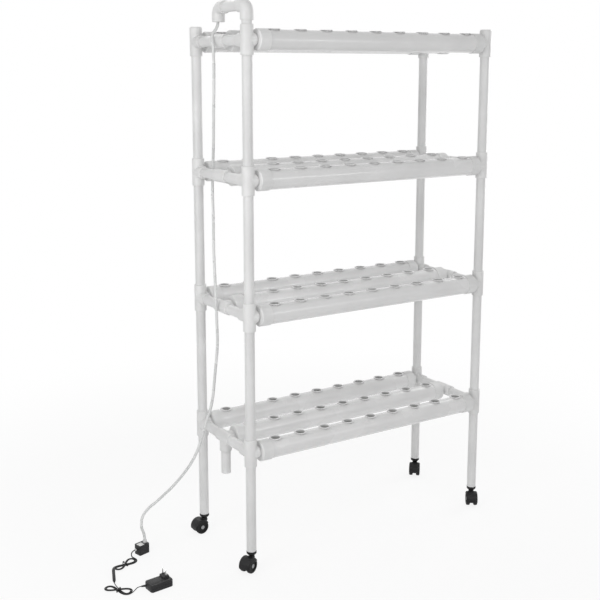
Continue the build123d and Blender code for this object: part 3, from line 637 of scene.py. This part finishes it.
def roundedRing(halfX, halfY, corner, height, place):
    points = []
    for quarter, (sx, sy) in enumerate(((1, 1), (-1, 1), (-1, -1), (1, -1))):
        for step in range(roundSteps + 1):
            turn = pi / 2 * (quarter + step / roundSteps)
            points.append(place @ Vector((sx * (halfX - corner) + corner * cos(turn),
                                          sy * (halfY - corner) + corner * sin(turn), height)))
    return points


def roundedBlock(verts, faces, size, corner, levels, place):  # levels of (height, inset)
    rings = [roundedRing(size[0] / 2 - inset, size[1] / 2 - inset, max(corner - inset, leastCorner),
                         height, place)
             for height, inset in levels]
    addRings(verts, faces, rings)


adapterPlan = {
    "centre": (-0.772, -0.106), "heading": 5.0, "size": (0.078, 0.046), "corner": 0.008,
    "levels": [(0.0, 0.0016), (0.0004, 0.0007), (0.0012, 0.0002), (0.0022, 0.0), (0.0116, 0.0),
               (0.0118, 0.0005), (0.0123, 0.0005), (0.0125, 0.0), (0.0205, 0.0), (0.0222, 0.0003),
               (0.0233, 0.0011), (0.0239, 0.0022), (0.024, 0.0034)],
    "panel": (0.040, 0.030), "panelPlace": (-0.0135, 0.0), "panelCorner": 0.003,
    "panelLevels": [(0.0235, 0.0), (0.0243, 0.0), (0.0245, 0.0004)],
    "block": (0.022, 0.029), "blockPlace": (0.024, 0.008), "blockCorner": 0.004,
    "blockLevels": [(0.0235, -0.0012), (0.0243, -0.0003), (0.0252, 0.0), (0.0290, 0.0002),
                    (0.0300, 0.0007), (0.0305, 0.0018)],
    "pinSpacing": 0.019,
    "collar": [(0.0035, 0.0300), (0.0035, 0.0316), (0.0030, 0.0322), (0.00215, 0.0322)],
}


def makeAdapterShell(plan):
    x, y = plan["centre"]
    place = Matrix.Translation((x, y, 0)) @ Matrix.Rotation(radians(plan["heading"]), 4, "Z")
    verts, faces = [], []
    roundedBlock(verts, faces, plan["size"], plan["corner"], plan["levels"], place)
    panelPlace = place @ Matrix.Translation((*plan["panelPlace"], 0))
    roundedBlock(verts, faces, plan["panel"], plan["panelCorner"], plan["panelLevels"], panelPlace)
    blockPlace = place @ Matrix.Translation((*plan["blockPlace"], 0))
    roundedBlock(verts, faces, plan["block"], plan["blockCorner"], plan["blockLevels"], blockPlace)
    for side in (-1, 1):
        pinPlace = blockPlace @ Matrix.Translation((0, side * plan["pinSpacing"] / 2, 0))
        lathe(verts, faces, plan["collar"], pinPlace, steps=24)
    meshPiece("adapterShell", verts, faces, "adapterShell", "rack", ["adapter_case"])


makeAdapterShell(adapterPlan)

# pump side ribs, and a pale patch on the pump's top: a painted highlight standing for glare on the top face
pumpRibsAndGlarePlan = {
    "centre": (-0.7242, 0.1314), "heading": 14.0,
    "glarePatch": (0.019, 0.021), "glarePatchPlace": (-0.0075, -0.0015), "glarePatchCorner": 0.002,
    "glarePatchLevels": [(0.0325, 0.0), (0.0332, 0.0), (0.0334, 0.0003)],
    "rib": (0.0016, 0.0016), "ribCorner": 0.0006, "ribPlace": -0.0198, "ribAcross": (-0.010, -0.006, -0.002),
    "ribLevels": [(0.006, 0.0004), (0.0065, 0.0), (0.0275, 0.0), (0.028, 0.0004)],
}


def makePumpRibsAndGlare(plan):
    x, y = plan["centre"]
    place = Matrix.Translation((x, y, 0)) @ Matrix.Rotation(radians(plan["heading"]), 4, "Z")
    verts, faces = [], []
    # painted highlight: a pale raised patch where glare lies on the pump's top face
    glarePatchPlace = place @ Matrix.Translation((*plan["glarePatchPlace"], 0))
    roundedBlock(verts, faces, plan["glarePatch"], plan["glarePatchCorner"], plan["glarePatchLevels"], glarePatchPlace)
    meshPiece("pumpTopPaintedGlare", verts, faces, "lightFitting", "rack")
    verts, faces = [], []
    for across in plan["ribAcross"]:
        ribPlace = place @ Matrix.Translation((plan["ribPlace"], across, 0))
        roundedBlock(verts, faces, plan["rib"], plan["ribCorner"], plan["ribLevels"], ribPlace)
    meshPiece("pumpSideRibs", verts, faces, "pumpShell", "rack")


makePumpRibsAndGlare(pumpRibsAndGlarePlan)

hankTies = {
    "pumpHankTie": {
        "centre": (-0.806, 0.080), "heading": 23.0, "half": 0.0112, "top": 0.0088, "wide": 0.0034,
    },
    "adapterHankTie": {
        "centre": (-0.888, -0.060), "heading": 129.6, "half": 0.0125, "top": 0.0070, "wide": 0.0030,
    },
}
tieBand = {
    "thick": 0.0007, "floorGap": 0.00002, "inside": 0.00014, "upperBend": 0.0022, "lowerBend": 0.0009,
    "steps": 10, "head": (0.0052, 0.0046), "headCorner": 0.0008, "headInset": 0.0030,
    "headLevels": [(-0.0004, 0.0003), (0.0, 0.0), (0.0022, 0.0), (0.0026, 0.0005)],
}


def tieLoop(plan, shrink, low):  # (across, height) loop round the hank
    half, top = plan["half"] - shrink, plan["top"] - shrink
    steps = tieBand["steps"]
    points = []
    for quarter, (side, z) in enumerate(((1, top), (-1, top), (-1, low), (1, low))):
        bend = tieBand["upperBend"] if z == top else tieBand["lowerBend"]
        middleZ = z - bend if z == top else z + bend
        for step in range(steps + 1):
            turn = pi / 2 * (quarter + step / steps)
            points.append((side * (half - bend) + bend * cos(turn), middleZ + bend * sin(turn)))
    return points


def makeHankTie(name, plan):
    place = Matrix.Translation((*plan["centre"], 0)) @ Matrix.Rotation(radians(plan["heading"]), 4, "Z")
    outer = tieLoop(plan, 0.0, tieBand["floorGap"])
    inner = tieLoop(plan, tieBand["thick"], tieBand["inside"])
    count = len(outer)
    verts, faces = [], []
    for x in (-plan["wide"] / 2, plan["wide"] / 2):
        for ring in (outer, inner):
            verts.extend(place @ Vector((x, across, z)) for across, z in ring)
    for index in range(count):
        after = (index + 1) % count
        a, b, c, d = (base + index for base in (0, count, 2 * count, 3 * count))
        e, f, g, h = (base + after for base in (0, count, 2 * count, 3 * count))
        faces += [(a, e, g, c), (b, d, h, f), (a, b, f, e), (c, g, h, d)]
    head = place @ Matrix.Translation((0, plan["half"] - tieBand["headInset"], 0))
    levels = [(plan["top"] + height, inset) for height, inset in tieBand["headLevels"]]
    roundedBlock(verts, faces, tieBand["head"], tieBand["headCorner"], levels, head)
    meshPiece(name, verts, faces, "blackMoulded", "rack")


for tieName, tiePlan in hankTies.items():
    makeHankTie(tieName, tiePlan)
print("stage: made pieces")


# Floor, sky and lamps

studio = {
    "floorTone": (0.93, 0.93, 0.93),
    "floorRoughness": 0.85,
    "floorRadius": 14,
    "floorSteps": 96,
    "floorDrop": 0.0002,
    "skyStrength": 0.37,
    "nearWhite": 0.86,
    "fadeFrom": 0.8,
    "fadeTo": 2.4,
    "lamps": [
        {"name": "keyPanel", "place": (-1.6, -2.6, 4.2), "aim": (0, 0, 0.9),
         "size": (2.6, 2.6), "power": 24},
        {"name": "leftPanel", "place": (-1.95, -0.55, 1.4), "aim": (-0.45, 0, 1.0),
         "size": (0.8, 2.0), "power": 12},
        {"name": "rightPanel", "place": (2.5, 0.3, 1.8), "aim": (0.45, 0, 1.0),
         "size": (1.2, 2.2), "power": 22},
        {"name": "backPanel", "place": (0.4, 3.6, 3.4), "aim": (0, 0, 1.0),
         "size": (2.6, 2.6), "power": 26},
        {"name": "stripPanel", "place": (-0.4, -2.95, 1.72), "aim": (-0.4, 0, 1.1),
         "size": (5.0, 0.16), "power": 20},
    ],
}


def seenRays(tree):  # camera, mirror and see-through rays
    path = addNode(tree, "ShaderNodeLightPath").outputs
    seen = mathNode(tree, "MAXIMUM", path["Is Camera Ray"], path["Is Glossy Ray"])
    return mathNode(tree, "MAXIMUM", seen, path["Is Transmission Ray"])


def makeSky(look):  # dimmer for the light it gives than for what is seen of it
    world = bpy.data.worlds.new("studioSky")
    world.use_nodes = True
    tree = world.node_tree
    tree.nodes.clear()
    lit = addNode(tree, "ShaderNodeBackground", Color=white, Strength=look["skyStrength"])
    seen = addNode(tree, "ShaderNodeBackground", Color=white, Strength=1.0)
    mix = tree.nodes.new("ShaderNodeMixShader")
    out = tree.nodes.new("ShaderNodeOutputWorld")
    tree.links.new(seenRays(tree), mix.inputs[0])
    tree.links.new(lit.outputs[0], mix.inputs[1])
    tree.links.new(seen.outputs[0], mix.inputs[2])
    tree.links.new(mix.outputs[0], out.inputs[0])
    scene.world = world


def makeFloor(look):  # takes shadows near the rack and fades to white around it
    mesh = bpy.data.meshes.new("studioFloor")
    sheet = bmesh.new()
    bmesh.ops.create_circle(sheet, cap_ends=True, segments=look["floorSteps"],
                            radius=look["floorRadius"])
    sheet.to_mesh(mesh)
    sheet.free()
    floor = bpy.data.objects.new("studioFloor", mesh)
    floor.location.z = -look["floorDrop"]
    scene.collection.objects.link(floor)
    material = bpy.data.materials.new("paleFloor")
    material.use_nodes = True
    tree = material.node_tree
    shader = tree.nodes["Principled BSDF"]
    shader.inputs["Roughness"].default_value = look["floorRoughness"]
    shader.inputs["Base Color"].default_value = (*look["floorTone"], 1)
    glow = addNode(tree, "ShaderNodeEmission", Color=white, Strength=1.0)
    place = addNode(tree, "ShaderNodeTexCoord").outputs["Object"]
    reach = addNode(tree, "ShaderNodeVectorMath", {"operation": "LENGTH"})
    tree.links.new(place, reach.inputs[0])
    fade = rangeOf(tree, reach.outputs["Value"], look["fadeFrom"], look["fadeTo"], look["nearWhite"], 1.0)
    mix = tree.nodes.new("ShaderNodeMixShader")
    tree.links.new(mathNode(tree, "MULTIPLY", fade, seenRays(tree)), mix.inputs[0])
    tree.links.new(shader.outputs[0], mix.inputs[1])
    tree.links.new(glow.outputs[0], mix.inputs[2])
    tree.links.new(mix.outputs[0], tree.nodes["Material Output"].inputs[0])
    mesh.materials.append(material)


def makeLamp(lamp):
    data = bpy.data.lights.new(lamp["name"], "AREA")
    data.shape = "RECTANGLE"
    data.size, data.size_y = lamp["size"]
    data.energy = lamp["power"]
    light = bpy.data.objects.new(lamp["name"], data)
    light.location = lamp["place"]
    aim = Vector(lamp["aim"]) - Vector(lamp["place"])
    light.rotation_euler = aim.to_track_quat("-Z", "Y").to_euler()
    scene.collection.objects.link(light)


makeSky(studio)
makeFloor(studio)
for lampPlan in studio["lamps"]:
    makeLamp(lampPlan)
scene.view_settings.view_transform = "Standard"
print("stage: studio")
